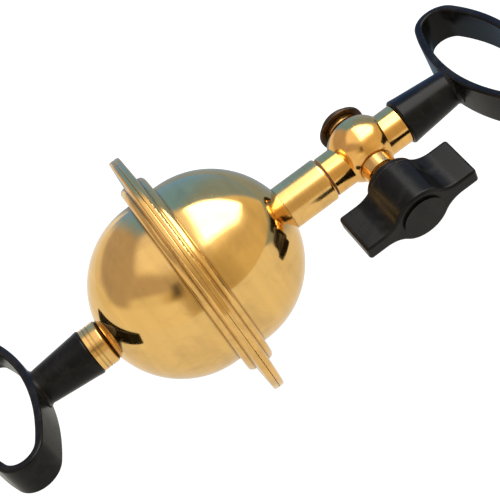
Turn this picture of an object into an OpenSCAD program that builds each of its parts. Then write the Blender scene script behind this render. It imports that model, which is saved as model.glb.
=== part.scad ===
// Magdeburg hemispheres: two flanged brass half spheres with ground faces, one blind and one with a
// taper plug tap, each pulled by a black moulded hand loop. Sizes in millimetres and degrees.
// X runs along the common axis towards the tap, the hand loops lie flat in XY, and the origin is the
// middle of the closed pair. Turned pieces are drawn along Z from the joint face and then laid on X.

/* [Hemispheres] */
// Outer diameter of each hemisphere
dome_d = 76.8; // [66:0.2:90]
// Wall of each hemisphere
dome_wall = 3; // [2:0.1:4.5]
// How far the hemisphere's centre lies behind the joint face
dome_inset = 7.5; // [7:0.1:12]

/* [Flanges] */
// Width of the raised step round the hemisphere
step_w = 7; // [4:0.1:12]
// Width of the rim outside the step
rim_w = 11.6; // [6:0.1:18]
// Thickness of the rim at the step
rim_t = 3.2; // [2.6:0.1:5]
// Thickness of the rim at its outer edge
rim_edge_t = 2.4; // [2:0.1:4]
// Height of the step above the rim
step_h = 2.7; // [1.6:0.1:3.4]
// Thickness of the lip that the hemisphere's skirt stands on
lip_t = 1.5; // [1:0.1:2.4]
// Rounding of the rim's outer edge
rim_round = 1; // [0.5:0.1:1.2]
// Rounding of the step's outer edge
step_round = 2.4; // [0.5:0.1:3]

/* [Bosses] */
// Diameter of both bosses
boss_d = 19.6; // [17:0.1:24]
// Length of the blind boss beyond the pole
blind_boss_l = 7; // [6:0.1:14]
// Length of the tap boss beyond the pole
tap_boss_l = 20; // [16:0.1:30]
// Rounding of the blind boss at the hemisphere
blind_boss_round = 1.2; // [0.4:0.1:2]
// Rounding of the tap boss at the tap
tap_boss_round = 1.4; // [0.4:0.1:1.8]
// Width of the two turned grooves in the blind boss
groove_w = 0.6; // [0.4:0.1:0.8]
// Depth of those grooves
groove_depth = 0.3; // [0.2:0.05:0.6]

/* [Tap body] */
// Diameter of the tap's two tubes
tube_d = 18; // [15.6:0.1:19]
// Length of the inlet tube, from the seal to the key's axis
inlet_l = 18.5; // [16:0.1:28]
// Length of the outlet tube, from the key's axis to its end face
outlet_l = 19.2; // [16:0.1:28]
// Diameter of the ball through which the key's plug passes
ball_d = 28; // [26:0.1:30]
// How far the ball's centre lies behind the tubes' axis, away from the knob
ball_shift = 1.6; // [0:0.1:2.5]
// Width of the flat land round the plug at the ball's mouth
mouth_land = 0.9; // [0.6:0.1:1.5]
// Distance of the washer's seat from the tubes' axis
ball_back = 15.5; // [14:0.1:17]
// Diameter of that seat
washer_seat_d = 16; // [14.5:0.1:18]
// Diameter of the air way
air_d = 4; // [3:0.1:5]
// Major diameter of the inlet's screwed stub
stub_d = 12; // [10:0.5:13]
// Length of that stub
stub_l = 12; // [8:0.5:14]
// Thickness of the seal between boss and tap
seal_t = 0.6; // [0.4:0.1:1.2]
// How far the seal's edge lies below the tube's surface
seal_inset = 0.4; // [0.2:0.1:1]

/* [Key] */
// Angle between the key's axis and the plane of the hand loops
key_tilt = 12.5; // [0:0.5:40]
// Diameter of the plug at its large end
plug_d = 14.4; // [13:0.1:16]
// Taper ratio of the plug, 1 of diameter in this much of length
taper_ratio = 10; // [8:1:20]
// How far the plug's shoulder stands out of the ball
plug_lip = 5.8; // [3:0.1:7]
// Diameter of the plug's neck
neck_d = 11; // [10:0.1:12.6]
// Width across the square stem in the knob
stem_w = 7; // [5.6:0.1:7]
// Width across the square tail under the washer
tail_w = 6; // [5:0.1:7]
// Diameter of the washer
washer_d = 20.8; // [18:0.1:24]
// Thickness of the washer
washer_t = 1.5; // [1:0.1:2.5]
// Diameter of the slotted screw's head
key_screw_d = 16.4; // [12:0.1:18]
// Height of that head
key_screw_h = 4.4; // [3:0.1:6]
// Major diameter of that screw
key_thread_d = 4; // [3:0.5:4]
// Length of that screw's shank
key_thread_l = 10; // [8:0.5:11]
// Width of its slot
slot_w = 1.5; // [1:0.1:2]
// Depth of its slot
slot_depth = 1.8; // [1:0.1:2.4]

/* [Knob] */
// Gap between the ball's mouth and the knob's hub
knob_gap = 9.5; // [8:0.1:12]
// Length over the two wings
wing_span = 53.5; // [44:0.5:70]
// Height of the wings
wing_h = 21; // [18:0.5:26]
// Thickness of the wings
wing_t = 7.4; // [6:0.1:10]
// Diameter of the hub between the wings
hub_d = 25.2; // [23:0.1:30]
// Diameter of the hub's foot towards the tap
hub_foot_d = 22.6; // [20:0.1:22.8]
// How far the hub's foot reaches past the wings
hub_foot_l = 3.4; // [2:0.1:6]
// Radius of the hollow between hub and wing
wing_blend_r = 11; // [6:0.5:16]
// Rounding of all the knob's edges
knob_round = 1.4; // [0.8:0.1:1.8]
// Diameter of the recess in the hub's end
recess_d = 15.6; // [14:0.1:18]
// Depth of the recess above its cap
recess_depth = 2.3; // [1:0.1:3]
// Thickness of the cap
cap_t = 1.8; // [1.2:0.1:2]
// Outer diameter of the brass bush in the knob
bush_d = 13.2; // [12:0.1:15]
// Diameter of the knob screw's head
knob_screw_d = 10; // [9:0.1:11]
// Height of that head
knob_screw_h = 3.2; // [2:0.1:3.4]
// Major diameter of that screw
knob_thread_d = 4; // [3:0.5:4]
// Length of its shank
knob_thread_l = 10; // [6:0.5:12]

/* [Hand loops] */
// Diameter of the handle's sleeve at its mouth
sleeve_d = 20.6; // [19.6:0.1:26]
// Diameter of the sleeve where it meets the loop
sleeve_tip_d = 15.8; // [13:0.1:18]
// Length of the sleeve
sleeve_l = 25.5; // [22:0.5:40]
// Rounding of the sleeve's mouth
mouth_round = 1.1; // [0.5:0.1:1.2]
// Length of the loop, outside
loop_l = 82; // [70:1:110]
// Width of the loop along the axis, outside
loop_w = 34; // [30:0.5:44]
// Radius of the loop's two ends, outside
loop_end_r = 11; // [8:0.5:13]
// Thickness of the strap
strap_t = 3.5; // [2.8:0.1:5]
// Width of the strap
strap_w = 16.2; // [12:0.1:20]
// Rounding of the strap's edges
strap_round = 1.1; // [0.6:0.1:1.3]
// Radius of the hollow between sleeve and strap
flare_r = 2; // [1:0.1:3]

/* [Handle fixing] */
// Major diameter of the threads that the handles screw on
spigot_d = 10; // [8:0.5:11]
// Length of the tap's spigot
spigot_l = 12; // [8:0.5:14]
// Length of the blind side's stud inside the handle
stud_l = 12; // [8:0.5:14]
// Depth of that stud in its boss
stud_seat = 6; // [4:0.1:6]
// Outer diameter of the brass insert
insert_d = 15; // [13:0.1:16]
// Length of the insert
insert_l = 15; // [14.5:0.1:18]
// How far the insert lies inside the sleeve's mouth
insert_inset = 0.5; // [0.2:0.1:1]

/* [Hidden] */
$fn = 120;

brass = [0.85, 0.66, 0.3];
black = [0.11, 0.11, 0.12];
tarnish = [0.32, 0.22, 0.14];
cap_brown = [0.25, 0.21, 0.19];
fibre = [0.3, 0.17, 0.1];

// Radial gap of pieces that are soldered, pressed or moulded together, and of screw threads
seat_gap = 0.05;
// Radial gap of the lapped plug in its bore
plug_gap = 0.04;
// Gap between the washer and its seat
washer_gap = 0.1;
// Length by which a cut runs past a face
past = 1;
// Rounding of a turned piece's crisp edges and of its soft ones
edge = 0.3;
soft_edge = 0.5;
// Rounding of a thread's ends
thread_end = 0.8;
// Height of the neck on which the blind boss's rounded foot stands
boss_neck_h = 0.2;
// Rounding of the knob's foot
foot_round = 2;
// Play at the end of a stem or stub
end_gap = 0.2;
// Room round a screw in a moulding, and above its head
screw_room = 1;

dome_r = dome_d / 2;
bowl_r = dome_r - dome_wall;
step_r = dome_r + step_w;
flange_r = step_r + rim_w;
flange_t = rim_t + step_h;
boss_r = boss_d / 2;
stub_r = stub_d / 2;

// Stations along the axis, counted from the joint face
pole = dome_inset + dome_r;
blind_end = pole + blind_boss_l;
tap_boss_end = pole + tap_boss_l;
key_at = tap_boss_end + seal_t + inlet_l;
outlet_end = key_at + outlet_l;
handle_l = sleeve_l + loop_w;
middle = (outlet_end - blind_end) / 2;

// Stations along the key, counted from the tap's axis towards the knob
ball_front = sqrt(pow(ball_d / 2, 2) - pow(plug_d / 2 + mouth_land, 2)) - ball_shift;
plug_front = ball_front + plug_lip;
knob_foot = ball_front + knob_gap;
wing_foot = knob_foot + hub_foot_l;
knob_end = wing_foot + wing_h;
cap_face = knob_end - recess_depth;
screw_seat = cap_face - cap_t - screw_room - knob_screw_h;
washer_face = ball_back + washer_gap;

// The blind half points to -X and the tap half to +X
module blind_side() translate([-middle, 0, 0]) rotate([0, 0, 180]) children();
module tap_side() translate([-middle, 0, 0]) children();
module along_x() rotate([0, 90, 0]) children();
// The key's own frame: Z from the tap's axis towards the knob
module key_frame() tap_side() translate([key_at, 0, 0]) rotate([90 + key_tilt, 0, 0]) children();

// Half section of a turned piece of radius r from z0 to z1, with edges rounded by e0 and e1
module turned(r, z0, z1, e0 = 0, e1 = 0) {
    translate([0, z0 + e0]) square([r, z1 - z0 - e0 - e1]);
    if (e0 > 0) rounded_end(r, z0, e0, 1);
    if (e1 > 0) rounded_end(r, z1, e1, -1);
}

module rounded_end(r, z, e, inward) translate([0, z]) scale_side(inward) {
    square([r - e, e]);
    intersection() {
        translate([r - e, e]) circle(e);
        square([r, e]);
    }
}

module scale_side(inward) if (inward > 0) children(); else mirror([0, 1, 0]) children();

// Round hole of diameter d from z0 to z1
module hole(d, z0, z1) translate([0, 0, z0]) cylinder(h = z1 - z0, d = d);

// Square bar of width w from z0 to z1
module bar(w, z0, z1) translate([-w / 2, -w / 2, z0]) cube([w, w, z1 - z0]);

/* Hemispheres */

module dome(air) color(brass) along_x() difference() {
    union() {
        intersection() {
            translate([0, 0, dome_inset]) sphere(dome_r);
            hole(2 * flange_r, dome_inset, pole + past);
        }
        hole(dome_d, lip_t, dome_inset);
    }
    translate([0, 0, dome_inset]) sphere(bowl_r);
    hole(2 * bowl_r, 0, dome_inset);
    if (air) hole(air_d, dome_inset, pole + past);
}

// Half section of the rim, which thins towards its edge
module rim_section() {
    turned(flange_r, 0, rim_edge_t, edge, rim_round);
    polygon([[0, edge], [flange_r - rim_round, edge], [flange_r - rim_round, rim_edge_t],
        [step_r, rim_t], [0, rim_t]]);
}

// The rim and the step, bored for the hemisphere's skirt, with a lip under it
module flange() color(brass) along_x() difference() {
    rotate_extrude() {
        rim_section();
        turned(step_r, rim_t - past, flange_t, 0, min(step_round, step_h));
    }
    hole(2 * bowl_r, -past, lip_t + past);
    hole(dome_d + 2 * seat_gap, lip_t, flange_t + past);
}

module left_dome() blind_side() dome(false);
module left_flange() blind_side() flange();
module right_dome() tap_side() dome(true);
module right_flange() tap_side() flange();

// Hollows the foot of a boss to sit on the hemisphere
module dome_seat() translate([0, 0, dome_inset]) sphere(dome_r + seat_gap);

/* Bosses */

// Height at which a boss of radius r leaves the hemisphere
function boss_root(r) = dome_inset + sqrt(dome_r * dome_r - r * r);

module left_boss() blind_side() color(brass) along_x() difference() {
    neck_r = boss_r - blind_boss_round;
    rotate_extrude() difference() {
        union() {
            turned(boss_r, boss_root(neck_r) + boss_neck_h, blind_end, blind_boss_round, edge);
            turned(neck_r, dome_inset, pole);
        }
        for (k = [1, 2]) translate([boss_r - groove_depth, blind_end - blind_boss_l * (0.85 - 0.25 * k)])
            square([boss_r, groove_w]);
    }
    dome_seat();
    hole(spigot_d + 2 * seat_gap, blind_end - stud_seat, blind_end + past);
}

module left_stud() blind_side() color(brass) along_x() difference() {
    rotate_extrude() turned(spigot_d / 2, blind_end - stud_seat, blind_end + stud_l, thread_end, thread_end);
    translate([-slot_w / 2, -spigot_d / 2 - past, blind_end + stud_l - slot_depth])
        cube([slot_w, spigot_d + 2 * past, slot_depth + past]);
}

module right_boss() tap_side() color(brass) along_x() difference() {
    rotate_extrude() turned(boss_r, dome_inset, tap_boss_end, 0, tap_boss_round);
    dome_seat();
    hole(air_d, dome_inset, tap_boss_end + past);
    hole(stub_d + 2 * seat_gap, tap_boss_end - stub_l - end_gap, tap_boss_end + past);
}

/* Tap */

module inlet_seal() tap_side() color(fibre) along_x() difference() {
    hole(tube_d - 2 * seal_inset, tap_boss_end, tap_boss_end + seal_t);
    hole(stub_d + 4 * seat_gap, tap_boss_end - past, tap_boss_end + seal_t + past);
}

// Half section of the ball, with flats for the plug's mouth and the washer's seat
module ball_section() {
    intersection() {
        translate([0, -ball_shift]) circle(ball_d / 2, $fn = 360);
        translate([0, -ball_back]) square([ball_d, ball_back + ball_front]);
    }
    turned(washer_seat_d / 2, -ball_back, 0, edge, 0);
}

// Radius of the plug at height h, before any gap
function plug_r(h) = plug_d / 2 - (ball_front - h) / (2 * taper_ratio);

module plug_cone(h0, h1, gap) translate([0, 0, h0])
    cylinder(h = h1 - h0, r1 = plug_r(h0) + gap, r2 = plug_r(h1) + gap);

module tap_body() color(brass) difference() {
    union() {
        key_frame() rotate_extrude() ball_section();
        tap_side() along_x() {
            rotate_extrude() {
                turned(tube_d / 2, tap_boss_end + seal_t, outlet_end, edge, soft_edge);
                turned(stub_r, tap_boss_end - stub_l, tap_boss_end + seal_t + past, thread_end, 0);
                turned(spigot_d / 2, outlet_end - past, outlet_end + spigot_l, 0, thread_end);
            }
        }
    }
    tap_side() along_x() hole(air_d, tap_boss_end - stub_l - past, outlet_end + spigot_l + past);
    key_frame() plug_cone(-ball_back - past, ball_front + past, plug_gap);
}

/* Key */

module tap_plug() key_frame() color(brass) difference() {
    union() {
        plug_cone(-ball_back + washer_gap, ball_front, 0);
        hole(plug_d, ball_front, plug_front);
        hole(neck_d, ball_front, knob_foot);
        bar(stem_w, knob_foot - past, screw_seat - end_gap);
        bar(tail_w, -washer_face - washer_t + end_gap, -ball_back + past);
    }
    rotate([0, 90, 0]) hole(air_d, -plug_d, plug_d);
    hole(key_thread_d + 2 * seat_gap, -washer_face - washer_t, past - washer_face - washer_t + key_thread_l);
    hole(knob_thread_d + 2 * seat_gap, screw_seat - knob_thread_l - past, screw_seat);
}

module plug_washer() key_frame() color(tarnish) difference() {
    rotate_extrude() turned(washer_d / 2, -washer_face - washer_t, -washer_face, edge, edge);
    bar(tail_w + 2 * seat_gap, -washer_face - washer_t - past, -washer_face + past);
}

// A cheese head with a domed top
module plug_screw() key_frame() color(tarnish) rotate([180, 0, 0]) translate([0, 0, washer_face + washer_t])
    difference() {
        union() {
            intersection() {
                rotate_extrude() turned(key_screw_d / 2, 0, key_screw_h, edge, soft_edge);
                translate([0, 0, key_screw_h - key_screw_d]) sphere(key_screw_d);
            }
            hole(key_thread_d, -key_thread_l, past);
        }
        translate([-key_screw_d, -slot_w / 2, key_screw_h - slot_depth])
            cube([2 * key_screw_d, slot_w, slot_depth + past]);
    }

/* Knob */

// A quarter of the hollow between the hub and a wing, tangent to both; inset takes it inwards
module wing_blend(inset) {
    hub = hub_d / 2 - inset;
    side = wing_t / 2 - inset;
    blend = wing_blend_r + inset;
    run = sqrt(pow(hub + blend, 2) - pow(side + blend, 2));
    difference() {
        polygon([[0, 0], [run, 0], [run, side], [run * hub / (hub + blend), (side + blend) * hub / (hub + blend)]]);
        translate([run, side + blend]) circle(blend);
    }
}

module knob_outline(inset) {
    circle(hub_d / 2 - inset);
    square([wing_span - 2 * inset - 2 * knob_round, wing_t - 2 * inset], center = true);
    square([wing_span - 2 * inset, wing_t - 2 * inset - 2 * knob_round], center = true);
    for (side_x = [0, 1], side_y = [0, 1]) mirror([side_x, 0]) mirror([0, side_y]) {
        wing_blend(inset);
        translate([wing_span / 2 - inset - knob_round, wing_t / 2 - inset - knob_round])
            circle(knob_round);
    }
}

module tap_knob() key_frame() color(black) difference() {
    union() {
        minkowski() {
            translate([0, 0, wing_foot + knob_round])
                linear_extrude(wing_h - 2 * knob_round) knob_outline(knob_round, $fn = 44);
            sphere(knob_round, $fn = 16);
        }
        rotate_extrude() turned(hub_foot_d / 2, knob_foot, wing_foot + wing_h / 2, foot_round, 0);
    }
    hole(bush_d + 2 * seat_gap, knob_foot - past, screw_seat);
    hole(knob_screw_d + screw_room, screw_seat - past, cap_face);
    hole(recess_d, cap_face - cap_t, knob_end + past);
}

module knob_bush() key_frame() color(brass) difference() {
    hole(bush_d, knob_foot, screw_seat);
    bar(stem_w + 2 * seat_gap, knob_foot - past, screw_seat + past);
}

module knob_screw() key_frame() color(tarnish) difference() {
    union() {
        rotate_extrude() turned(knob_screw_d / 2, screw_seat, screw_seat + knob_screw_h, 0, 2 * soft_edge);
        hole(knob_thread_d, screw_seat - knob_thread_l, screw_seat + past);
    }
    translate([-knob_screw_d, -slot_w / 2, screw_seat + knob_screw_h - slot_depth])
        cube([2 * knob_screw_d, slot_w, slot_depth + past]);
}

module knob_cap() key_frame() color(cap_brown)
    rotate_extrude() turned(recess_d / 2 - seat_gap, cap_face - cap_t, cap_face, 0, edge);

/* Hand loops */

// The strap's outer edge is an oval of four arcs: two ends of loop_end_r and two sides of side_r
end_at = loop_l / 2 - loop_end_r;
side_r = (pow(loop_w / 2, 2) + pow(end_at, 2) - pow(loop_end_r, 2)) / (loop_w - 2 * loop_end_r);
side_at = side_r - loop_w / 2;
side_turn = asin(end_at / (side_r - loop_end_r));
side_steps = 16;
end_steps = 24;

// Stations round the oval: centre x, centre y, radius, angle
function arc_stations(x, y, r, from, turn, steps) =
    [for (k = [0 : steps - 1]) [x, y, r, from + turn * k / steps]];
stations = concat(
    arc_stations(-side_at, 0, side_r, -side_turn, 2 * side_turn, side_steps),
    arc_stations(0, end_at, loop_end_r, side_turn, 180 - 2 * side_turn, end_steps),
    arc_stations(side_at, 0, side_r, 180 - side_turn, 2 * side_turn, side_steps),
    arc_stations(0, -end_at, loop_end_r, 180 + side_turn, 180 - 2 * side_turn, end_steps));

// The strap's cross section, [depth below the outer face, height], as four rounded corners
corner_steps = 4;
section = [for (q = [0 : 3], k = [0 : corner_steps])
    let (turn = 90 * (q + k / corner_steps),
        deep = (q == 1 || q == 2) ? strap_t - strap_round : strap_round,
        high = q < 2 ? strap_w / 2 - strap_round : strap_round - strap_w / 2)
    [deep - strap_round * cos(turn), high + strap_round * sin(turn)]];

module strap() {
    ring = len(section);
    points = [for (s = stations, p = section)
        [s[0] + (s[2] - p[0]) * cos(s[3]), s[1] + (s[2] - p[0]) * sin(s[3]), p[1]]];
    total = len(points);
    faces = [for (s = [0 : len(stations) - 1], p = [0 : ring - 1])
        let (a = s * ring, b = (a + ring) % total, q = (p + 1) % ring)
        each [[a + p, b + q, b + p], [a + p, a + q, b + q]]];
    polyhedron(points, faces);
}

// Depth of the strap's outer face behind its crown, at the foot of the hollow
foot_r = sleeve_tip_d / 2 + flare_r;
foot_sag = side_r - sqrt(side_r * side_r - foot_r * foot_r);
sleeve_foot = sleeve_l + 0.6 * strap_t;

module sleeve() {
    rotate_extrude() intersection() {
        polygon([[0, 0], [sleeve_d / 2, 0], [sleeve_tip_d / 2, sleeve_l], [sleeve_tip_d / 2, sleeve_foot],
            [0, sleeve_foot]]);
        turned(sleeve_d / 2, 0, sleeve_foot, mouth_round, 0);
    }
    intersection() {
        rotate_extrude() difference() {
            translate([0, sleeve_l + foot_sag - flare_r]) square([foot_r, flare_r]);
            translate([foot_r, sleeve_l + foot_sag - flare_r]) circle(flare_r);
        }
        cube([strap_w - 2 * strap_round, 2 * foot_r, 4 * sleeve_l], center = true);
    }
}

module handle() color(black) difference() {
    union() {
        along_x() sleeve();
        translate([sleeve_l + loop_w / 2, 0, 0]) strap();
    }
    along_x() {
        hole(insert_d + 2 * seat_gap, -past, insert_inset + insert_l);
        hole(spigot_d + screw_room, -past, insert_inset + insert_l + 2 * screw_room);
    }
}

module handle_insert() color(brass) along_x() difference() {
    hole(insert_d, insert_inset, insert_inset + insert_l);
    hole(spigot_d + 2 * seat_gap, 0, insert_inset + insert_l + past);
}

module left_handle() blind_side() translate([blind_end, 0, 0]) handle();
module left_handle_insert() blind_side() translate([blind_end, 0, 0]) handle_insert();
module right_handle() tap_side() translate([outlet_end, 0, 0]) handle();
module right_handle_insert() tap_side() translate([outlet_end, 0, 0]) handle_insert();

left_dome();
left_flange();
left_boss();
left_stud();
left_handle();
left_handle_insert();
right_dome();
right_flange();
right_boss();
inlet_seal();
tap_body();
tap_plug();
plug_washer();
plug_screw();
tap_knob();
knob_bush();
knob_screw();
knob_cap();
right_handle();
right_handle_insert();
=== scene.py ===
import math

import bpy
from mathutils import Matrix, Vector


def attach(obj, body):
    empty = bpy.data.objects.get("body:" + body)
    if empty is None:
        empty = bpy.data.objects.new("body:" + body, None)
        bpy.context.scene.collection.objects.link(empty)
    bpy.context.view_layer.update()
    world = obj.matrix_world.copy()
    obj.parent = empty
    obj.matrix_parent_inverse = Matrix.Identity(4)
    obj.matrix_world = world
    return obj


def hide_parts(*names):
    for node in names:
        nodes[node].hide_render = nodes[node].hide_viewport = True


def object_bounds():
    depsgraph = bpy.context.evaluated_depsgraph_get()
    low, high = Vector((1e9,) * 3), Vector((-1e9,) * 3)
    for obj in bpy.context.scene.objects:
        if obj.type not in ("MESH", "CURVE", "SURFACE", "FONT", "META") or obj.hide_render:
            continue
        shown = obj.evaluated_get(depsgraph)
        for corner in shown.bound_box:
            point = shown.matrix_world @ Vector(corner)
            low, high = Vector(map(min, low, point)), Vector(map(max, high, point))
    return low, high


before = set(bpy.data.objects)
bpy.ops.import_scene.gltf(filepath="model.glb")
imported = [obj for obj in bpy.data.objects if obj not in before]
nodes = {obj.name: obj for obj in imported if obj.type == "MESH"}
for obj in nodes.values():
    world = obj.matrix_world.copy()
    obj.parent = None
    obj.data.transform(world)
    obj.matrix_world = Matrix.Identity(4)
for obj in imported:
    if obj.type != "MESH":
        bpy.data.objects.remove(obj)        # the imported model, in metres; the axis through both halves is X
for spare in ("Cube", "Light", "Camera"):
    if spare in bpy.data.objects:
        bpy.data.objects.remove(bpy.data.objects[spare])
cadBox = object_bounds()
scene = bpy.context.scene
mm = 0.001

# camera: looks down on the pair from the front, turned so that the axis climbs to the right
shot = {
    "from": (-0.03093, -0.43677, 0.35998),
    "at": (-0.00263, -0.00809, 0.0),
    "roll": -34.01,          # degrees
    "lens": 99.8,
}
camera = bpy.data.objects.new("pictureCamera", bpy.data.cameras.new("pictureCamera"))
scene.collection.objects.link(camera)
camera.data.lens = shot["lens"]
camera.data.clip_start, camera.data.clip_end = 0.01, 20
camera.location = shot["from"]
sight = Vector(shot["at"]) - Vector(shot["from"])
camera.rotation_mode = "QUATERNION"
camera.rotation_quaternion = (
    sight.to_track_quat("-Z", "Y").to_matrix() @ Matrix.Rotation(math.radians(shot["roll"]), 3, "Z")
).to_quaternion()
scene.camera = camera
scene.view_settings.view_transform = "Standard"
print("camera set")


# small helpers for node trees
def put(tree, kind, place, feeds=None, **settings):
    node = tree.nodes.new(kind)
    node.location = place
    for key, value in settings.items():
        setattr(node, key, value)
    for key, value in (feeds or {}).items():
        if isinstance(value, bpy.types.NodeSocket):
            tree.links.new(value, node.inputs[key])
        else:
            node.inputs[key].default_value = value
    return node


def calc(tree, operation, place, a, b=0.0, c=0.0, clamp=False):
    return put(tree, "ShaderNodeMath", place, {0: a, 1: b, 2: c}, operation=operation, use_clamp=clamp).outputs[0]


def measure(tree, operation, place, *vectors):
    # a vector sum that gives a number, such as a length or a dot product
    return put(tree, "ShaderNodeVectorMath", place, dict(enumerate(vectors)), operation=operation).outputs["Value"]


def fade(tree, place, value, low, high, way="SMOOTHSTEP"):
    # 0 at low and 1 at high
    feeds = {"Value": value, "From Min": low, "From Max": high}
    return put(tree, "ShaderNodeMapRange", place, feeds, interpolation_type=way).outputs[0]


def blendColor(tree, place, share, a, b, mode="MIX"):
    node = put(tree, "ShaderNodeMix", place, data_type="RGBA", blend_type=mode)
    for socket, value in ((node.inputs[0], share), (node.inputs[6], a), (node.inputs[7], b)):
        if isinstance(value, bpy.types.NodeSocket):
            tree.links.new(value, socket)
        else:
            socket.default_value = value
    return node.outputs[2]


def newGroup(name, inputs, outputs):
    tree = bpy.data.node_groups.new(name, "ShaderNodeTree")
    for label, kind, value in inputs:
        socket = tree.interface.new_socket(label, in_out="INPUT", socket_type="NodeSocket" + kind)
        if value is not None:
            socket.default_value = value
    for label, kind in outputs:
        tree.interface.new_socket(label, in_out="OUTPUT", socket_type="NodeSocket" + kind)
    start = put(tree, "NodeGroupInput", (-900, 0))
    end = put(tree, "NodeGroupOutput", (900, 0))
    return tree, start.outputs, end.inputs


def useGroup(tree, group, place, feeds=None):
    return put(tree, "ShaderNodeGroup", place, feeds, node_tree=group).outputs


# the studio: panes of light round the object, brightest a big diffuser up on the tap's side
studio = {
    "base": (0.86, 0.80, 0.66, 1),
    # each pane has four corners (azimuth 0 in front and 90 on the tap's side, elevation), the softness of the
    # edges from corner to corner, in degrees, and its light
    "panes": [
        ("warmRoom", ((-25, -20), (114, -20), (114, 44), (-25, 44)), (20, 8, 14, 20), (0.78, 0.66, 0.43, 1)),
        ("dimFront", ((-30, -4), (22, -4), (22, 40), (-30, 44)), (12, 18, 12, 14), (0.58, 0.47, 0.29, 1)),
        ("leftWall", ((184, 8), (-84, 10), (-84, 60), (184, 60)), (5, 8, 10, 8), (0.54, 0.47, 0.44, 1)),
        ("frontLeft", ((-112, -20), (-10, -20), (-10, 24), (-112, 8)), (16, 10, 4, 14), (0.94, 0.88, 0.74, 1)),
        ("frontUpper", ((-92, 24), (-4, 36), (-2, 52), (-92, 56)), (4, 10, 8, 12), (0.56, 0.48, 0.43, 1)),
        ("cameraBlock", ((-21, 29), (-6, 28), (-3, 44), (-13, 46)), (5, 4, 4, 6), (0.14, 0.12, 0.10, 1)),
        ("backPanel", ((112, -20), (187, -20), (187, 62), (122, 52)), (8, 8, 6, 3), (0.27, 0.42, 0.70, 1)),
        ("blueBack", ((152, -20), (186, -20), (186, 60), (152, 50)), (8, 8, 8, 12), (0.20, 0.46, 1.05, 1)),
        ("ceiling", ((-90, 58), (0, 58), (90, 58), (180, 58)), (7, 7, 7, 7), (1.08, 1.02, 0.94, 1)),
        ("halo", ((106, 24), (80, 26), (12, 50), (20, 70)), (6, 8, 12, 14), (1.35, 1.22, 1.0, 1)),
        ("diffuser", ((105, 24), (159, 62), (14, 61), (79, 33)), (2.5, 6, 6, 3), (6.4, 6.2, 5.8, 1)),
    ],
    # painted light: the floor glows, and the glow that the brass mirrors turns from "near" to the blue-grey "far"
    # towards the back and the tap's side, along "way", and ends at "side" along X
    "floor": {
        "size": 8, "gap": 0.00005,           # its width, and its distance below the part
        "glow": 0.75, "seen": 0.27,          # what the brass mirrors, and what the camera gets on top
        "sheet": (0.10, 0.10, 0.096, 1),     # what is lit, and takes a shadow
        "near": (1.0, 0.97, 0.88, 1), "far": (0.20, 0.34, 0.50, 1),
        "way": (0.5, 0.866, 0), "from": 0.06, "to": 0.11, "side": (-0.08, -0.03),
    },
}
white = (1, 1, 1, 1)


def towards(azimuth, elevation):
    a, e = math.radians(azimuth), math.radians(elevation)
    return Vector((math.sin(a) * math.cos(e), -math.cos(a) * math.cos(e), math.sin(e)))


def makeLightPane():
    edges = ["Edge A", "Edge B", "Edge C", "Edge D"]
    tree, given, out = newGroup(
        "lightPane",
        [(label, "Vector", None) for label in ["Direction"] + edges]
        + [(label, "Color", None) for label in ("Under", "Light")],
        [("Color", "Color")],
    )
    share = 1.0
    for index, edge in enumerate(edges):
        row = 200 - 150 * index
        inside = measure(tree, "DOT_PRODUCT", (-700, row), given["Direction"], given[edge])
        mask = fade(tree, (-500, row), inside, -1.0, 1.0)
        share = calc(tree, "MULTIPLY", (-300 + 150 * index, 0), mask, share)
    tree.links.new(blendColor(tree, (740, 0), share, given["Under"], given["Light"]), out["Color"])
    return tree


def lightStudio():
    world = scene.world or bpy.data.worlds.new("studio")
    scene.world = world
    world.use_nodes = True
    tree = world.node_tree
    tree.nodes.clear()
    direction = put(tree, "ShaderNodeTexCoord", (-1400, 0)).outputs["Generated"]
    pane = makeLightPane()
    light = studio["base"]
    for index, (label, corners, soft, color) in enumerate(studio["panes"]):
        ends = [towards(*corner) for corner in corners]
        middle = sum(ends, Vector()).normalized()
        feeds = {"Direction": direction, "Under": light, "Light": color}
        for letter, start, end, width in zip("ABCD", ends, ends[1:] + ends[:1], soft):
            normal = start.cross(end).normalized()
            normal *= math.copysign(1 / math.sin(math.radians(width)), normal.dot(middle))
            feeds["Edge " + letter] = normal[:]
        node = useGroup(tree, pane, (-1200 + 180 * index, 0), feeds)
        light = node["Color"]
    room = put(tree, "ShaderNodeBackground", (600, 100), {"Color": light})
    plain = put(tree, "ShaderNodeBackground", (600, -100), {"Color": white})
    seen = put(tree, "ShaderNodeLightPath", (600, 300)).outputs["Is Camera Ray"]
    mix = put(tree, "ShaderNodeMixShader", (800, 0), {0: seen, 1: room.outputs[0], 2: plain.outputs[0]})
    put(tree, "ShaderNodeOutputWorld", (1000, 0), {0: mix.outputs[0]})


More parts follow.
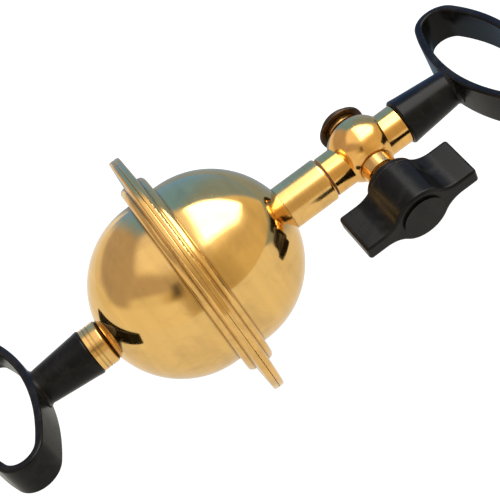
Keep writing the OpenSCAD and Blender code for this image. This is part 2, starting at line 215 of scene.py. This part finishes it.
def layFloor():
    look = studio["floor"]
    bpy.ops.object.select_all(action="DESELECT")
    bpy.ops.mesh.primitive_plane_add(size=look["size"], location=(0, 0, cadBox[0].z - look["gap"]))
    floor = bpy.context.active_object
    floor.name = "floor"
    bpy.ops.object.transform_apply(location=True, rotation=True, scale=True)
    material = bpy.data.materials.new("glowingPaper")
    material.use_nodes = True
    tree = material.node_tree
    tree.nodes.clear()
    place = put(tree, "ShaderNodeTexCoord", (-600, 0)).outputs["Object"]
    along = measure(tree, "DOT_PRODUCT", (-400, 0), place, look["way"])
    back = fade(tree, (-200, 0), along, look["from"], look["to"])
    across = put(tree, "ShaderNodeSeparateXYZ", (-400, 200), {0: place}).outputs[0]
    aside = fade(tree, (-200, 200), across, *look["side"])
    back = calc(tree, "MULTIPLY", (-100, 60), back, aside)
    tone = blendColor(tree, (-50, 100), back, look["near"], look["far"])
    # painted light: the floor's own glow, warm white near the part and blue-grey further back, seen by every ray that
    # does not start at the camera
    glow = put(tree, "ShaderNodeEmission", (100, 100), {"Color": tone, "Strength": look["glow"]})
    sheet = put(tree, "ShaderNodeBsdfDiffuse", (100, -100), {"Color": look["sheet"]})
    paper = put(tree, "ShaderNodeAddShader", (300, 0), {0: glow.outputs[0], 1: sheet.outputs[0]})
    bright = put(tree, "ShaderNodeEmission", (100, 300), {"Color": white, "Strength": look["glow"] + look["seen"]})
    shown = put(tree, "ShaderNodeAddShader", (300, 200), {0: bright.outputs[0], 1: sheet.outputs[0]})
    seen = put(tree, "ShaderNodeLightPath", (300, 400)).outputs["Is Camera Ray"]
    mix = put(tree, "ShaderNodeMixShader", (500, 0), {0: seen, 1: paper.outputs[0], 2: shown.outputs[0]})
    put(tree, "ShaderNodeOutputMaterial", (700, 0), {0: mix.outputs[0]})
    floor.data.materials.append(material)


lightStudio()
layFloor()
print("studio lit")


# effects that several finishes share
def makeTurningMarks():
    tree, given, out = newGroup(
        "turningMarks",
        [("Place", "Vector", None), ("Pitch", "Float", 0.0004)],
        [("Lines", "Float"), ("Bands", "Float")],
    )
    axes = put(tree, "ShaderNodeSeparateXYZ", (-700, 0), {0: given["Place"]}).outputs
    flat = put(tree, "ShaderNodeCombineXYZ", (-540, -120), {"Y": axes[1], "Z": axes[2]}).outputs[0]
    radius = measure(tree, "LENGTH", (-380, -120), flat)
    rings = put(tree, "ShaderNodeCombineXYZ", (-220, 0), {"X": axes[0], "Y": radius}).outputs[0]
    fine = calc(tree, "DIVIDE", (-220, 200), 1.0, given["Pitch"])
    lines = put(tree, "ShaderNodeTexNoise", (0, 120), {
        "Vector": rings, "Scale": fine, "Detail": 2.0}, noise_dimensions="2D")
    coarse = calc(tree, "MULTIPLY", (-60, -200), fine, 0.14)
    bands = put(tree, "ShaderNodeTexNoise", (0, -120), {
        "Vector": rings, "Scale": coarse, "Detail": 1.0}, noise_dimensions="2D")
    tree.links.new(lines.outputs[0], out["Lines"])
    tree.links.new(bands.outputs[0], out["Bands"])
    return tree


def makeHandling():
    tree, given, out = newGroup(
        "handling",
        [("Place", "Vector", None), ("Size", "Float", 0.012)],
        [("Film", "Float"), ("Specks", "Float"), ("Sway", "Float")],
    )
    rate = calc(tree, "DIVIDE", (-700, 200), 1.0, given["Size"])
    cloud = put(tree, "ShaderNodeTexNoise", (-400, 100), {
        "Vector": given["Place"], "Scale": rate, "Detail": 4.0, "Roughness": 0.62, "Distortion": 0.6})
    film = fade(tree, (-100, 100), cloud.outputs[0], 0.42, 0.72)
    many = calc(tree, "MULTIPLY", (-560, -100), rate, 22.0)
    dots = put(tree, "ShaderNodeTexNoise", (-400, -140), {"Vector": given["Place"], "Scale": many, "Detail": 1.0})
    specks = fade(tree, (-100, -140), dots.outputs[0], 0.70, 0.80, "LINEAR")
    slow = calc(tree, "MULTIPLY", (-560, -300), rate, 0.9)
    sway = put(tree, "ShaderNodeTexNoise", (-400, -360), {"Vector": given["Place"], "Scale": slow, "Detail": 0.0})
    tree.links.new(film, out["Film"])
    tree.links.new(specks, out["Specks"])
    tree.links.new(sway.outputs[0], out["Sway"])
    return tree


def makeEdgeRub():
    tree, given, out = newGroup(
        "edgeRub",
        [("Reach", "Float", 0.0006), ("Strength", "Float", 6.0)],
        [("Rub", "Float")],
    )
    rounded = put(tree, "ShaderNodeBevel", (-600, 0), {"Radius": given["Reach"]}, samples=6).outputs[0]
    normal = put(tree, "ShaderNodeNewGeometry", (-600, -200)).outputs["Normal"]
    same = measure(tree, "DOT_PRODUCT", (-400, 0), rounded, normal)
    edge = calc(tree, "SUBTRACT", (-200, 0), 1.0, same)
    tree.links.new(calc(tree, "MULTIPLY", (0, 0), edge, given["Strength"], clamp=True), out["Rub"])
    return tree


# painted shade: ambient occlusion gives 1 where a corner or gap is closed in; the brass darkens its colour there
# towards dark brown and is also made rougher
def makeCornerShadeAndDirt():
    tree, given, out = newGroup(
        "cornerShadeAndDirt",
        [("Reach", "Float", 0.002), ("Closed", "Float", 0.35), ("Open", "Float", 0.85)],
        [("ShadeAndDirt", "Float")],
    )
    light = put(tree, "ShaderNodeAmbientOcclusion", (-400, 0), {"Distance": given["Reach"]}, samples=8).outputs["AO"]
    tree.links.new(fade(tree, (-200, 0), light, given["Open"], given["Closed"]), out["ShadeAndDirt"])
    return tree


turningMarks, handling, edgeRub, cornerShadeAndDirt = makeTurningMarks(), makeHandling(), makeEdgeRub(), makeCornerShadeAndDirt()

# the key's axis: X of this turn runs from the tap's axis out towards the knob
key = {"at": (59.35 * mm, 0, 0), "tilt": 12.5}
ball = {"shift": -1.6, "fade": (14.5, 14.1)}     # in mm: its centre along the key's axis, and where it ends
keyTurn = Matrix.Rotation(math.radians(key["tilt"]), 3, "X") @ Matrix.Rotation(-math.pi / 2, 3, "Z")


def startFinish(name):
    material = bpy.data.materials.new(name)
    material.use_nodes = True
    tree = material.node_tree
    tree.nodes.clear()
    place = put(tree, "ShaderNodeTexCoord", (-1400, 0)).outputs["Object"]
    body = put(tree, "ShaderNodeBsdfPrincipled", (300, 0))
    put(tree, "ShaderNodeOutputMaterial", (600, 0), {0: body.outputs[0]})
    return material, tree, place, body


# the hemispheres are left dull inside: "joint" is the joint face's place along the axis, "inset" the distance
# from it to each hemisphere's centre, and the dull finish fades out through the wall, over "fade"; all in mm
bowl = {"joint": -25.65, "inset": 7.5, "radius": 35.4, "fade": (1.2, 0.6),
        "color": (0.46, 0.29, 0.12, 1), "share": 0.8, "rough": 0.22}
shadeAndSoil = {"color": (0.075, 0.036, 0.012, 1), "rough": 0.3}     # painted corner shade: the dark brown mixed into the brass's colour in corners and gaps, and the roughness added there


def insideBowl(tree, place):
    axes = put(tree, "ShaderNodeSeparateXYZ", (-1200, 500), {0: place}).outputs
    along = calc(tree, "SUBTRACT", (-1050, 500), axes[0], bowl["joint"] * mm)
    fromJoint = calc(tree, "ABSOLUTE", (-900, 500), along)
    fromCentre = calc(tree, "SUBTRACT", (-750, 500), fromJoint, bowl["inset"] * mm)
    deep = calc(tree, "MAXIMUM", (-600, 500), fromCentre, 0.0)
    spot = put(tree, "ShaderNodeCombineXYZ", (-450, 500), {"X": deep, "Y": axes[1], "Z": axes[2]}).outputs[0]
    reach = measure(tree, "LENGTH", (-300, 500), spot)
    outer, inner = [(bowl["radius"] + width) * mm for width in bowl["fade"]]
    return fade(tree, (-150, 500), reach, outer, inner, "LINEAR")


def aroundKey(tree, place):
    return put(tree, "ShaderNodeMapping", (-1200, -300), {
        "Vector": place, "Location": key["at"], "Rotation": keyTurn.to_euler("XYZ")[:],
    }, vector_type="TEXTURE").outputs[0]


# brass: bright is the freshly buffed colour, dull is under handling film, both as metal reflects them
# "stain" is how far the film dulls it, and the entry after it how far from a corner the painted shade and the added
# roughness reach, in mm like "pitch" and "depth";
# "bowl" is dull inside, "key" is turned about the key's axis, and "band" only within the ball
brassLooks = {
    "polishedDome": {
        "bright": (0.82, 0.52, 0.18), "dull": (0.66, 0.42, 0.16), "rough": 0.075, "film": 0.10, "lines": 0.05,
        "pitch": 0.5, "depth": 0.00022, "sway": 0.030, "filmSize": 16, "stain": 0.8, "shadeAndDirt": 2.2,
        "bowl": True, "key": False, "band": False},
    "turnedFlange": {
        "bright": (0.82, 0.50, 0.17), "dull": (0.60, 0.37, 0.13), "rough": 0.12, "film": 0.14, "lines": 0.10,
        "pitch": 0.35, "depth": 0.0009, "sway": 0.006, "filmSize": 11, "stain": 0.7, "shadeAndDirt": 2.0,
        "bowl": False, "key": False, "band": False},
    "turnedBrass": {
        "bright": (0.84, 0.52, 0.18), "dull": (0.62, 0.38, 0.14), "rough": 0.17, "film": 0.12, "lines": 0.14,
        "pitch": 0.3, "depth": 0.0006, "sway": 0.004, "filmSize": 8, "stain": 0.6, "shadeAndDirt": 1.2,
        "bowl": False, "key": False, "band": False},
    "tapBrass": {
        "bright": (0.86, 0.49, 0.15), "dull": (0.66, 0.36, 0.11), "rough": 0.12, "film": 0.12, "lines": 0.08,
        "pitch": 0.3, "depth": 0.0005, "sway": 0.004, "filmSize": 8, "stain": 0.6, "shadeAndDirt": 1.2,
        "bowl": False, "key": False, "band": True},
    "keyBrass": {
        "bright": (0.82, 0.50, 0.17), "dull": (0.52, 0.31, 0.11), "rough": 0.16, "film": 0.16, "lines": 0.12,
        "pitch": 0.3, "depth": 0.0009, "sway": 0.003, "filmSize": 6, "stain": 0.6, "shadeAndDirt": 1.0,
        "bowl": False, "key": True, "band": False},
}


def brassFinish(name, look):
    material, tree, place, body = startFinish(name)
    turned = aroundKey(tree, place) if look["key"] or look["band"] else place
    if look["band"]:     # only the ball round the key is turned about the key
        reach = measure(tree, "DISTANCE", (-1000, -500), turned, (ball["shift"] * mm, 0, 0))
        near = fade(tree, (-840, -500), reach, ball["fade"][0] * mm, ball["fade"][1] * mm, "LINEAR")
        mixed = put(tree, "ShaderNodeMix", (-700, -300), {0: near, 4: place, 5: turned}, data_type="VECTOR")
        turned = mixed.outputs[1]
    marks = useGroup(tree, turningMarks, (-700, 100), {"Place": turned, "Pitch": look["pitch"] * mm})
    touch = useGroup(tree, handling, (-700, -100), {"Place": place, "Size": look["filmSize"] * mm})
    rub = useGroup(tree, edgeRub, (-700, 300), {"Reach": 0.7 * mm, "Strength": 5.0})["Rub"]
    film = calc(tree, "MULTIPLY", (-500, -100), touch["Film"], look["stain"])
    spotted = calc(tree, "MAXIMUM", (-400, -160), film, calc(tree, "MULTIPLY", (-500, -260), touch["Specks"], 0.7))
    dulled = calc(tree, "MULTIPLY", (-300, -100), spotted, calc(tree, "SUBTRACT", (-400, 300), 1.0, rub), clamp=True)
    color = blendColor(tree, (-100, 200), dulled, (*look["bright"], 1), (*look["dull"], 1))
    ringTone = calc(tree, "MULTIPLY_ADD", (-300, 320), marks["Bands"], 0.16, 0.92)
    toned = blendColor(tree, (80, 240), 1.0, color, ringTone, "MULTIPLY")
    shadeAndDirt = useGroup(tree, cornerShadeAndDirt, (-100, 420), {"Reach": look["shadeAndDirt"] * mm})["ShadeAndDirt"]
    # painted shade: the brass colour darkens towards dark brown where corners and gaps are closed in
    shadedAndSoiled = blendColor(tree, (180, 300), shadeAndDirt, toned, shadeAndSoil["color"])
    tree.links.new(shadedAndSoiled, body.inputs["Base Color"])
    rough = calc(tree, "MULTIPLY_ADD", (-100, 0), spotted, look["film"], look["rough"])
    rough = calc(tree, "MULTIPLY_ADD", (0, 0), shadeAndDirt, shadeAndSoil["rough"], rough)
    if look["bowl"]:
        inner = insideBowl(tree, place)
        rough = calc(tree, "MULTIPLY_ADD", (40, 60), inner, bowl["rough"], rough)
        share = calc(tree, "MULTIPLY", (100, 500), inner, bowl["share"])
        tree.links.new(blendColor(tree, (240, 400), share, shadedAndSoiled, bowl["color"]), body.inputs["Base Color"])
    streaks = calc(tree, "SUBTRACT", (-300, 60), marks["Lines"], 0.5)
    rough = calc(tree, "MULTIPLY_ADD", (80, 0), streaks, look["lines"], rough, clamp=True)
    tree.links.new(rough, body.inputs["Roughness"])
    swayHeight = look["sway"] / look["depth"]
    height = calc(tree, "MULTIPLY_ADD", (-100, -250), touch["Sway"], swayHeight, marks["Lines"])
    bump = put(tree, "ShaderNodeBump", (80, -250), {"Height": height, "Distance": look["depth"] * mm, "Strength": 1.0})
    tree.links.new(bump.outputs[0], body.inputs["Normal"])
    body.inputs["Metallic"].default_value = 1.0
    return material


# black moulding: hard rubber-like plastic with a waxy gloss, greyed where hands rub its edges
def mouldedFinish(name, look):
    material, tree, place, body = startFinish(name)
    touch = useGroup(tree, handling, (-700, -100), {"Place": place, "Size": 9 * mm})
    rub = useGroup(tree, edgeRub, (-700, 300), {"Reach": 0.9 * mm, "Strength": 4.0})["Rub"]
    grain = put(tree, "ShaderNodeTexNoise", (-700, -400), {"Vector": place, "Scale": 2600.0, "Detail": 2.0}).outputs[0]
    worn = calc(tree, "MULTIPLY", (-500, 300), rub, calc(tree, "MULTIPLY_ADD", (-600, 200), touch["Film"], 0.6, 0.4))
    tint = blendColor(tree, (-300, 200), touch["Film"], (*look["deep"], 1), (*look["dusty"], 1))
    tinted = blendColor(tree, (-100, 200), worn, tint, (*look["worn"], 1))
    tree.links.new(tinted, body.inputs["Base Color"])
    rough = calc(tree, "MULTIPLY_ADD", (-300, 0), touch["Film"], look["film"], look["rough"])
    rough = calc(tree, "MULTIPLY_ADD", (-100, 0), touch["Specks"], 0.15, rough, clamp=True)
    tree.links.new(rough, body.inputs["Roughness"])
    height = calc(tree, "MULTIPLY_ADD", (-300, -300), touch["Sway"], 14.0, grain)
    bump = put(tree, "ShaderNodeBump", (80, -250), {"Height": height, "Distance": 0.002 * mm, "Strength": 1.0})
    tree.links.new(bump.outputs[0], body.inputs["Normal"])
    body.inputs["Specular IOR Level"].default_value = look["specular"]
    return material


# tarnish: brass gone brown, rubbed back to tan on its edges
def tarnishFinish(name, look):
    material, tree, place, body = startFinish(name)
    turned = aroundKey(tree, place)
    marks = useGroup(tree, turningMarks, (-700, 100), {"Place": turned, "Pitch": 0.3 * mm})
    touch = useGroup(tree, handling, (-700, -100), {"Place": place, "Size": 3.2 * mm})
    rub = useGroup(tree, edgeRub, (-700, 300), {"Reach": 0.5 * mm, "Strength": 9.0})["Rub"]
    patchy = blendColor(tree, (-300, 100), touch["Film"], (*look["brown"], 1), (*look["dark"], 1))
    edged = blendColor(tree, (-100, 200), rub, patchy, (*look["tan"], 1))
    tree.links.new(edged, body.inputs["Base Color"])
    rough = calc(tree, "MULTIPLY_ADD", (-100, 0), marks["Lines"], 0.2, look["rough"])
    tree.links.new(rough, body.inputs["Roughness"])
    bump = put(tree, "ShaderNodeBump", (80, -250), {"Height": marks["Lines"], "Distance": 0.002 * mm, "Strength": 1.0})
    tree.links.new(bump.outputs[0], body.inputs["Normal"])
    body.inputs["Metallic"].default_value = look["metal"]
    return material


def leatherFinish(name):
    material, tree, place, body = startFinish(name)
    touch = useGroup(tree, handling, (-700, -100), {"Place": place, "Size": 4 * mm})
    pores = put(tree, "ShaderNodeTexVoronoi", (-700, -400), {"Vector": place, "Scale": 2200.0}).outputs["Distance"]
    tone = blendColor(tree, (-100, 200), touch["Film"], (0.16, 0.07, 0.03, 1), (0.07, 0.03, 0.015, 1))
    tree.links.new(tone, body.inputs["Base Color"])
    tree.links.new(calc(tree, "MULTIPLY_ADD", (-100, 0), touch["Film"], 0.2, 0.55), body.inputs["Roughness"])
    bump = put(tree, "ShaderNodeBump", (80, -250), {"Height": pores, "Distance": 0.05 * mm, "Strength": 1.0})
    tree.links.new(bump.outputs[0], body.inputs["Normal"])
    return material


finishes = {name: brassFinish(name, look) for name, look in brassLooks.items()}
finishes["blackMoulding"] = mouldedFinish("blackMoulding", {
    "deep": (0.0042, 0.0042, 0.0048), "dusty": (0.011, 0.0105, 0.0105), "worn": (0.016, 0.014, 0.012),
    "rough": 0.24, "film": 0.12, "specular": 0.13})
finishes["brownCap"] = mouldedFinish("brownCap", {
    "deep": (0.024, 0.018, 0.014), "dusty": (0.034, 0.026, 0.020), "worn": (0.05, 0.038, 0.028),
    "rough": 0.34, "film": 0.16, "specular": 0.15})
finishes["brownTarnish"] = tarnishFinish("brownTarnish", {
    "brown": (0.052, 0.036, 0.027), "dark": (0.026, 0.019, 0.015), "tan": (0.27, 0.19, 0.12),
    "rough": 0.3, "metal": 0.85})
finishes["sealLeather"] = leatherFinish("sealLeather")

finishOf = {
    "polishedDome": ("left_dome", "right_dome"),
    "turnedFlange": ("left_flange", "right_flange"),
    "turnedBrass": ("left_boss", "right_boss", "left_stud", "left_handle_insert", "right_handle_insert"),
    "tapBrass": ("tap_body",),
    "keyBrass": ("tap_plug", "knob_bush"),
    "brownTarnish": ("plug_washer", "plug_screw", "knob_screw"),
    "blackMoulding": ("left_handle", "right_handle", "tap_knob"),
    "brownCap": ("knob_cap",),
    "sealLeather": ("inlet_seal",),
}
for finish, names in finishOf.items():
    for name in names:
        nodes[name].data.materials.clear()
        nodes[name].data.materials.append(finishes[finish])
print("finishes made")


# modelling helpers
def freshStart():
    if bpy.context.object and bpy.context.object.mode != "OBJECT":
        bpy.ops.object.mode_set(mode="OBJECT")
    bpy.ops.object.select_all(action="DESELECT")


def pick(piece):
    freshStart()
    piece.select_set(True)
    bpy.context.view_layer.objects.active = piece


def applyModifier(piece, kind, **settings):
    pick(piece)
    modifier = piece.modifiers.new(kind.lower(), kind)
    for key, value in settings.items():
        setattr(modifier, key, value)
    bpy.ops.object.modifier_apply(modifier=modifier.name)


def cutOrJoin(piece, other, operation):
    applyModifier(piece, "BOOLEAN", object=other, operation=operation, solver="EXACT")
    bpy.data.objects.remove(other)


def smoothAll(piece, angle=32):
    pick(piece)
    bpy.ops.object.shade_smooth_by_angle(angle=math.radians(angle))
    applyModifier(piece, "WEIGHTED_NORMAL", keep_sharp=True)


def tidyMesh(piece):
    pick(piece)
    bpy.ops.object.mode_set(mode="EDIT")
    bpy.ops.mesh.select_all(action="SELECT")
    bpy.ops.mesh.remove_doubles(threshold=0.00001)
    bpy.ops.mesh.normals_make_consistent(inside=False)
    bpy.ops.object.mode_set(mode="OBJECT")


def roundBar(name, steps, sides=96):
    # steps are (along, radius) in mm; the bar is closed at both ends and runs along X
    freshStart()
    bpy.ops.mesh.primitive_circle_add(vertices=sides, radius=steps[0][1] * mm, fill_type="NGON",
                                      location=(steps[0][0] * mm, 0, 0), rotation=(0, math.pi / 2, 0))
    piece = bpy.context.active_object
    piece.name = name
    bpy.ops.object.transform_apply(location=True, rotation=True, scale=True)
    bpy.ops.object.mode_set(mode="EDIT")
    bpy.ops.mesh.select_all(action="SELECT")
    for (x0, r0), (x1, r1) in zip(steps, steps[1:]):
        bpy.ops.mesh.extrude_region_move(TRANSFORM_OT_translate={"value": ((x1 - x0) * mm, 0, 0)})
        if abs(r1 - r0) > 1e-9:
            bpy.ops.transform.resize(value=(1, r1 / r0, r1 / r0), center_override=(x1 * mm, 0, 0))
    bpy.ops.mesh.select_all(action="SELECT")
    bpy.ops.mesh.normals_make_consistent(inside=False)
    bpy.ops.object.mode_set(mode="OBJECT")
    return piece


def arc(centre, radius, start, end, count):
    for step in range(count + 1):
        angle = math.radians(start + (end - start) * step / count)
        yield centre[0] + radius * math.cos(angle), centre[1] + radius * math.sin(angle)


def outlineRing(name, points, low, thick):
    # a closed outline in the XY plane, in mm, laid on a circle's vertices and filled, then drawn up to its height
    freshStart()
    bpy.ops.mesh.primitive_circle_add(vertices=len(points), radius=10 * mm, fill_type="NGON")
    piece = bpy.context.active_object
    piece.name = name
    for vertex, (x, y) in zip(piece.data.vertices, points):
        vertex.co = (x * mm, y * mm, low * mm)
    bpy.ops.object.mode_set(mode="EDIT")
    bpy.ops.mesh.select_all(action="SELECT")
    bpy.ops.mesh.extrude_region_move(TRANSFORM_OT_translate={"value": (0, 0, thick * mm)})
    bpy.ops.mesh.select_all(action="SELECT")
    bpy.ops.mesh.normals_make_consistent(inside=False)
    bpy.ops.object.mode_set(mode="OBJECT")
    return piece


def noRepeats(points):
    kept = []
    for point in points:
        if not kept or math.dist(point, kept[-1]) > 0.02:
            kept.append(point)
    if math.dist(kept[0], kept[-1]) < 0.02:
        kept.pop()
    return kept


# hand loops
loop = {
    "centre": 121.05,            # of the oval, along the axis
    "side": (72, 89, 22.62),     # centre offset, radius and half sweep of each long side
    "end": (30, 11, 67.38),      # the same for each round end
    "strap": 3.5, "width": 16.2, "soften": 1.1,
    "mouth": 78.55, "mouthR": 10.3, "tipR": 7.9, "sleeve": 25.5, "mouthRound": 1.1, "flare": 2.0,
    "flareSteps": (0.5, 0.9, 1.25, 1.5, 1.7, 1.85, 2.0, 2.3, 2.8, 3.6),     # rings from the sleeve's end on
    "bores": ((7.55, 15.5), (5.5, 17.5)),     # radius and depth of the insert's seat and of the hole behind it
}


def buildLoop():
    offset, radius, sweep = loop["side"]
    endOffset, endRadius, endSweep = loop["end"]

    def oval():
        points = []
        points += arc((-offset, 0), radius, -sweep, sweep, 26)
        points += arc((0, endOffset), endRadius, sweep, sweep + 2 * endSweep, 40)
        points += arc((offset, 0), radius, 180 - sweep, 180 + sweep, 26)
        points += arc((0, -endOffset), endRadius, 180 + sweep, 180 + sweep + 2 * endSweep, 40)
        return noRepeats([(x + loop["centre"], y) for x, y in points])

    # a ribbon along the oval, thickened inwards, with softened edges
    points = oval()
    freshStart()
    bpy.ops.mesh.primitive_circle_add(vertices=len(points), radius=10 * mm, fill_type="NOTHING")
    strap = bpy.context.active_object
    strap.name = "rightHandLoop"
    for vertex, (x, y) in zip(strap.data.vertices, points):
        vertex.co = (x * mm, y * mm, -loop["width"] / 2 * mm)
    bpy.ops.object.mode_set(mode="EDIT")
    bpy.ops.mesh.select_all(action="SELECT")
    bpy.ops.mesh.extrude_region_move(TRANSFORM_OT_translate={"value": (0, 0, loop["width"] * mm)})
    bpy.ops.mesh.select_all(action="SELECT")
    bpy.ops.mesh.normals_make_consistent(inside=False)
    bpy.ops.object.mode_set(mode="OBJECT")
    applyModifier(strap, "SOLIDIFY", thickness=loop["strap"] * mm, offset=-1, use_even_offset=True)
    tidyMesh(strap)
    applyModifier(strap, "BEVEL", width=loop["soften"] * mm, segments=5,
                  limit_method="ANGLE", angle_limit=math.radians(50))
    # the sleeve swells a little where it runs into the strap
    mouth, tip, length, lip = loop["mouth"], loop["tipR"], loop["sleeve"], loop["mouthRound"]
    slope = (tip - loop["mouthR"]) / length
    steps = [(mouth, loop["mouthR"] - lip)]
    for x, r in arc((lip, loop["mouthR"] - lip), lip, 172, 90, 6):
        steps.append((mouth + x, r))
    foot = length - loop["flare"]
    for share in range(1, 11):
        along = lip + (foot - lip) * share / 10
        steps.append((mouth + along, loop["mouthR"] + slope * along))
    steps += [(mouth + foot + along, tip + 0.1) for along in loop["flareSteps"]]
    sleeve = roundBar("sleeve", steps, 112)
    start = (mouth + foot) * mm
    for vertex in sleeve.data.vertices:
        along = (vertex.co.x - start) / (loop["flare"] * mm)
        if along > 0.05:
            spread = loop["flare"] * (1 - math.sqrt(max(0.0, 1 - min(along, 1.0) ** 2)))
            reach = math.hypot(vertex.co.y, vertex.co.z)
            sideways = (vertex.co.y / reach) ** 2 if reach > 1e-6 else 0
            grown = (tip + spread * sideways) * mm / reach if reach > 1e-6 else 1
            vertex.co.y *= grown
            vertex.co.z *= grown
    cutOrJoin(strap, sleeve, "UNION")
    (wide, deep), (narrow, deeper) = loop["bores"]
    bore = roundBar("bore", [
        (mouth - 1, wide + 0.9), (mouth, wide + 0.3), (mouth + 0.3, wide),
        (mouth + deep, wide), (mouth + deep + 0.001, narrow), (mouth + deeper, narrow),
    ], 80)
    cutOrJoin(strap, bore, "DIFFERENCE")
    tidyMesh(strap)
    smoothAll(strap)
    return strap


rightLoop = buildLoop()
leftLoop = rightLoop.copy()
leftLoop.data = rightLoop.data.copy()
leftLoop.name = "leftHandLoop"
scene.collection.objects.link(leftLoop)
pick(leftLoop)
leftLoop.rotation_euler = (0, 0, math.pi)
bpy.ops.object.transform_apply(location=True, rotation=True, scale=True)
for piece, body, node in ((rightLoop, "tap_handle", "right_handle"), (leftLoop, "blind_handle", "left_handle")):
    piece.data.materials.append(finishes["blackMoulding"])
    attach(piece, body)
    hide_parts(node)
print("hand loops built")


# wing knob, modelled about the key's axis and then laid on it
knob = {
    "span": 53.5, "wing": 7.4, "hubR": 12.6, "hollow": 11, "corner": 1.4,
    "foot": 22.72, "top": 43.72, "footR": 11.3, "footFrom": 19.32, "footRound": 2.0,
    "recessR": 7.8, "capBack": 39.62, "seat": 35.42, "bushR": 6.62, "screwR": 5.5,
}


def buildKnob():
    halfSpan, halfWing, corner = knob["span"] / 2, knob["wing"] / 2, knob["corner"]
    bowY = halfWing + knob["hollow"]
    bowX = math.sqrt((knob["hubR"] + knob["hollow"]) ** 2 - bowY ** 2)
    meet = math.degrees(math.atan2(bowY, bowX))
    quarter = [(halfSpan, 0.0), (halfSpan, (halfWing - corner) / 2)]
    quarter += arc((halfSpan - corner, halfWing - corner), corner, 0, 90, 7)
    quarter += [(bowX + (halfSpan - corner - bowX) * share, halfWing) for share in (0.75, 0.5, 0.25)]
    quarter += arc((bowX, bowY), knob["hollow"], 270, 180 + meet, 16)
    quarter += arc((0, 0), knob["hubR"], meet, 90, 16)
    upper = quarter + [(-x, y) for x, y in reversed(quarter)]
    outline = noRepeats(upper + [(-x, -y) for x, y in upper])
    body = outlineRing("tapKnob", outline, knob["foot"], knob["top"] - knob["foot"])
    applyModifier(body, "BEVEL", width=corner * mm, segments=6,
                  limit_method="ANGLE", angle_limit=math.radians(60))
    bend, footFrom, footR = knob["footRound"], knob["footFrom"], knob["footR"]
    top, capBack, recessR = knob["top"], knob["capBack"], knob["recessR"]
    seat, bushR, screwR = knob["seat"], knob["bushR"], knob["screwR"]
    footSteps = [(footFrom, footR - bend)]
    footSteps += arc((footFrom + bend, footR - bend), bend, 175, 90, 8)
    footSteps += [(knob["foot"] + 4, footR)]
    recessSteps = [(top + 1, recessR + 1.5), (top, recessR + 0.5), (top - 0.12, recessR + 0.22),
                   (top - 0.35, recessR + 0.05), (top - 0.6, recessR), (capBack, recessR)]
    bushSteps = [(footFrom - 1, bushR + 0.5), (footFrom + 0.2, bushR), (seat, bushR)]
    keyed = [
        (roundBar("foot", footSteps, 96), "UNION"),
        (roundBar("recess", recessSteps, 96), "DIFFERENCE"),
        (roundBar("screwRoom", [(capBack + 0.5, screwR), (seat - 0.01, screwR)], 64), "DIFFERENCE"),
        (roundBar("bushRoom", bushSteps, 80), "DIFFERENCE"),
    ]
    upright = Matrix.Rotation(-math.pi / 2, 4, "Y")          # X of the bars becomes the knob's height
    for tool, operation in keyed:
        tool.data.transform(upright)
        cutOrJoin(body, tool, operation)
    tidyMesh(body)
    smoothAll(body)
    out = keyTurn @ Vector((1, 0, 0))
    across = Vector((1, 0, 0))
    lay = Matrix((across, out.cross(across), out)).transposed().to_4x4()
    body.data.transform(Matrix.Translation(key["at"]) @ lay)
    return body


tapKnob = buildKnob()
tapKnob.data.materials.append(finishes["blackMoulding"])
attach(tapKnob, "tap_key")
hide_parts("tap_knob")
print("knob built")

freshStart()
